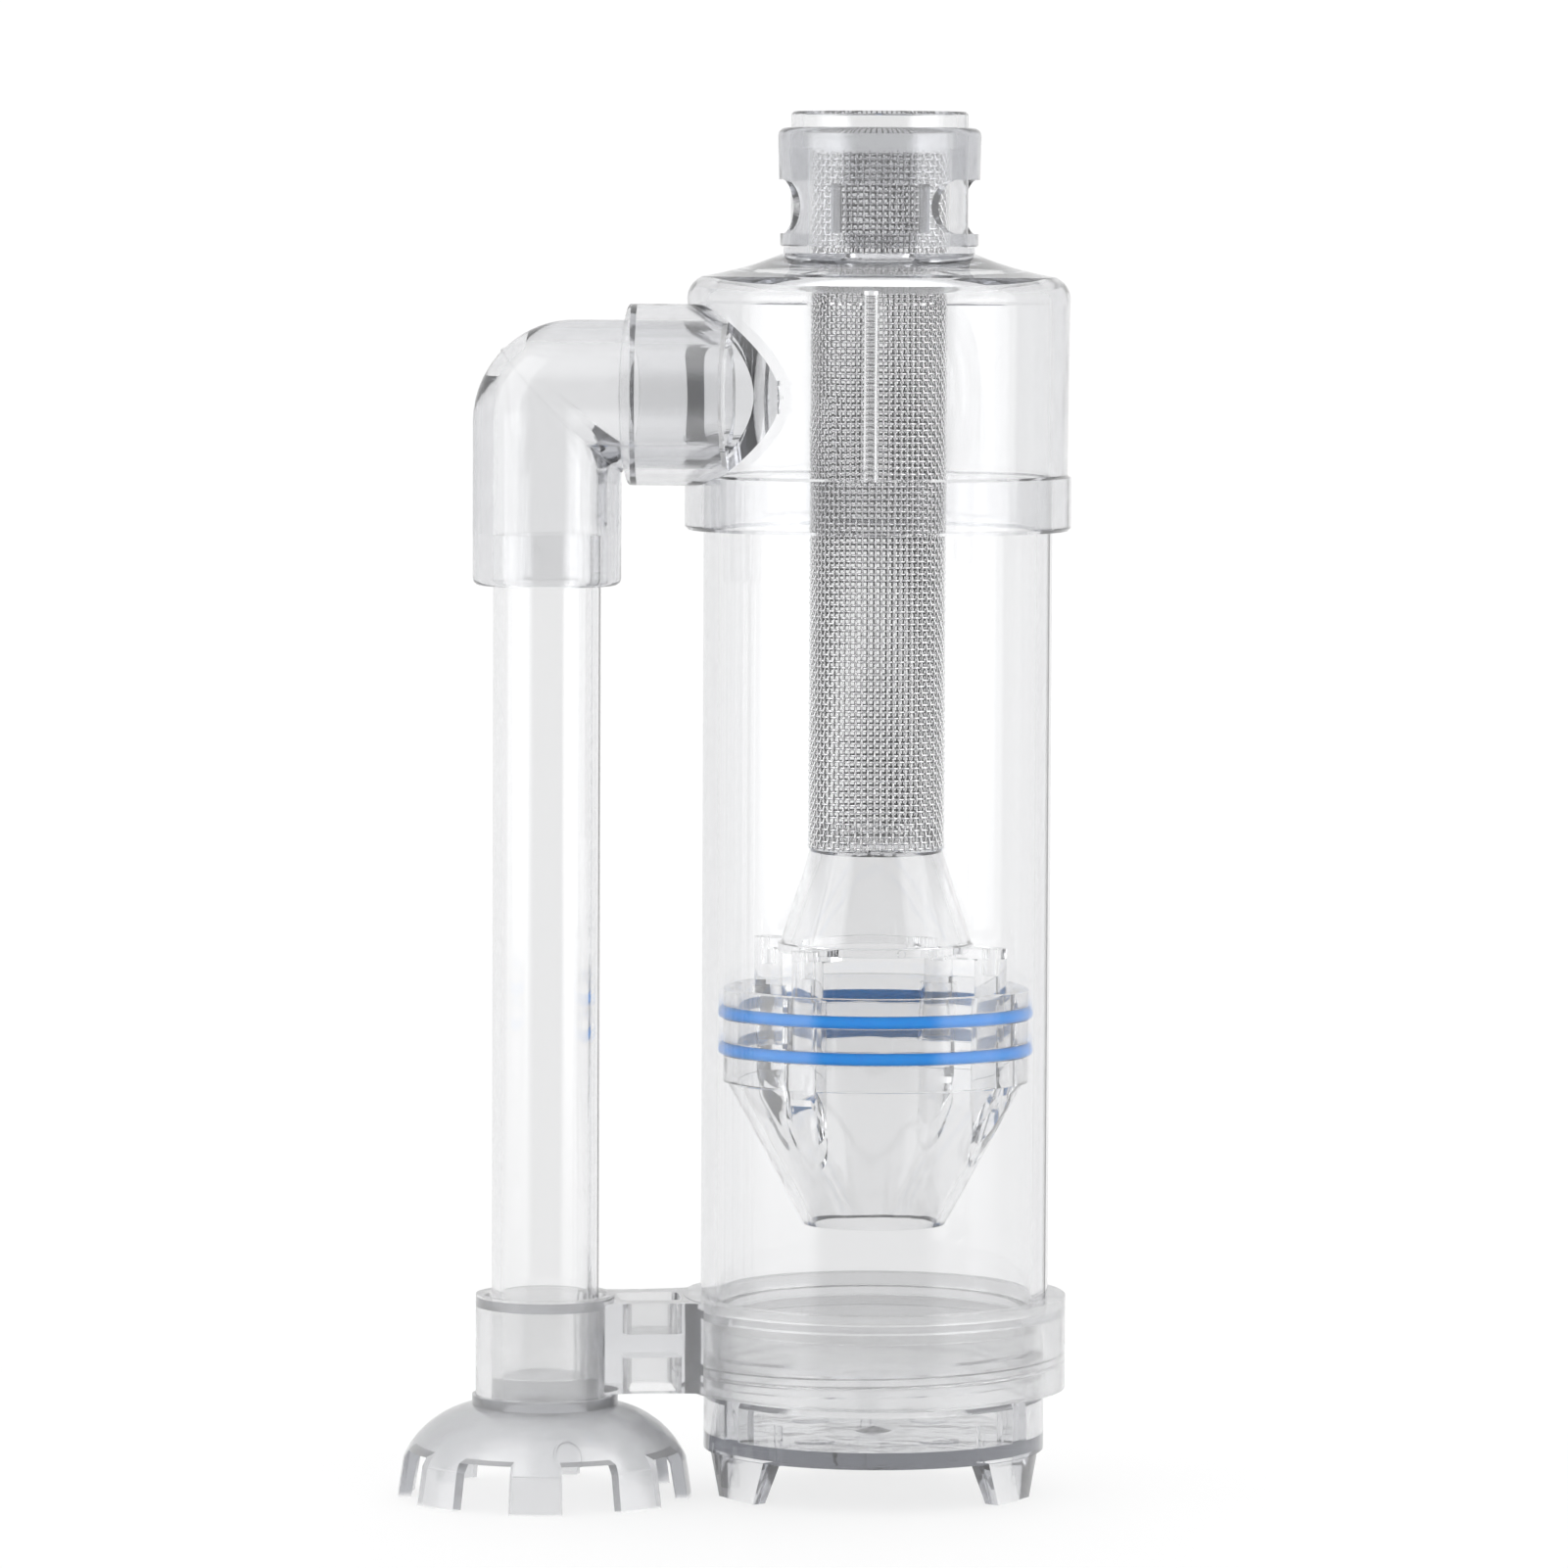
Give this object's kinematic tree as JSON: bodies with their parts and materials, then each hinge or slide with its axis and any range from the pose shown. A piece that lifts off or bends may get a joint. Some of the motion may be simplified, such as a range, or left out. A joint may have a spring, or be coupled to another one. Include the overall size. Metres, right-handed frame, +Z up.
{
  "type": "aquarium waste separator",
  "caption": "Clear-plastic cyclone waste separator for a fish tank: barrel, capped head with strainer and turning flow ring, funnel, side intake pipe with bell foot, and a screw-off cup.",
  "frame": {"origin": "middle of the outline on the surface it stands on", "axes": "+Z up the barrel, -Y the front, -X the side of the intake pipe"},
  "size_m": [0.125, 0.0724, 0.258],
  "materials": {
    "clear_tube": "polished extruded acrylic",
    "clear_moulding": "clear injection moulding, glossy",
    "clear_cup": "clear injection moulding, glossy",
    "clear_seal": "soft clear silicone",
    "clear_ring": "slightly hazy clear moulding",
    "clear_inner": "clear injection moulding, glossy",
    "blue_rubber": "smooth bright blue rubber",
    "steel_mesh": "plain-woven stainless wire"
  },
  "bodies": {
    "housing": {"main_tube": "clear_tube", "coupling_bracket": "clear_moulding"},
    "seal": {"cup_gasket": "clear_seal"},
    "cup": {"base_cup": "clear_cup"},
    "head": {"top_cap": "clear_moulding", "inlet_elbow": "clear_moulding", "intake_tube": "clear_tube"},
    "flow_collar": {"flow_ring": "clear_ring"},
    "separator": {"separator_funnel": "clear_inner", "upper_o_ring": "blue_rubber", "lower_o_ring": "blue_rubber", "deflector_cone": "clear_inner"},
    "strainer": {"strainer_mesh": "steel_mesh"},
    "bell": {"suction_bell": "clear_ring"}
  },
  "joints": [
    {"name": "cup_drop", "type": "slide", "parent": "housing", "child": "seal", "axis": [0, 0, -1], "range_m": [0, 0.01155]},
    {"name": "cup_unscrew", "type": "hinge", "parent": "seal", "child": "cup", "pos_m": [0.02647, 0, 0.02], "axis": [0, 0, -1], "range_deg": [0, 1080.5]},
    {"name": "head_lift", "type": "slide", "parent": "housing", "child": "head", "axis": [0, 0, 1], "range_m": [0, 0.02]},
    {"name": "flow_turn", "type": "hinge", "parent": "head", "child": "flow_collar", "pos_m": [0.02647, 0, 0.24], "axis": [0, 0, 1], "continuous": true},
    {"name": "separator_slide", "type": "slide", "parent": "housing", "child": "separator", "axis": [0, 0, 1], "range_m": [-0.015, 0.007]},
    {"name": "strainer_pull", "type": "slide", "parent": "separator", "child": "strainer", "axis": [0, 0, 1], "range_m": [0, 0.135]},
    {"name": "bell_pull", "type": "slide", "parent": "housing", "child": "bell", "axis": [0, 0, -1], "range_m": [0, 0.006]}
  ],
  "couplings": [
    {"joint": "cup_unscrew", "follows": "cup_drop", "rad_per_m": 1632}
  ]
}
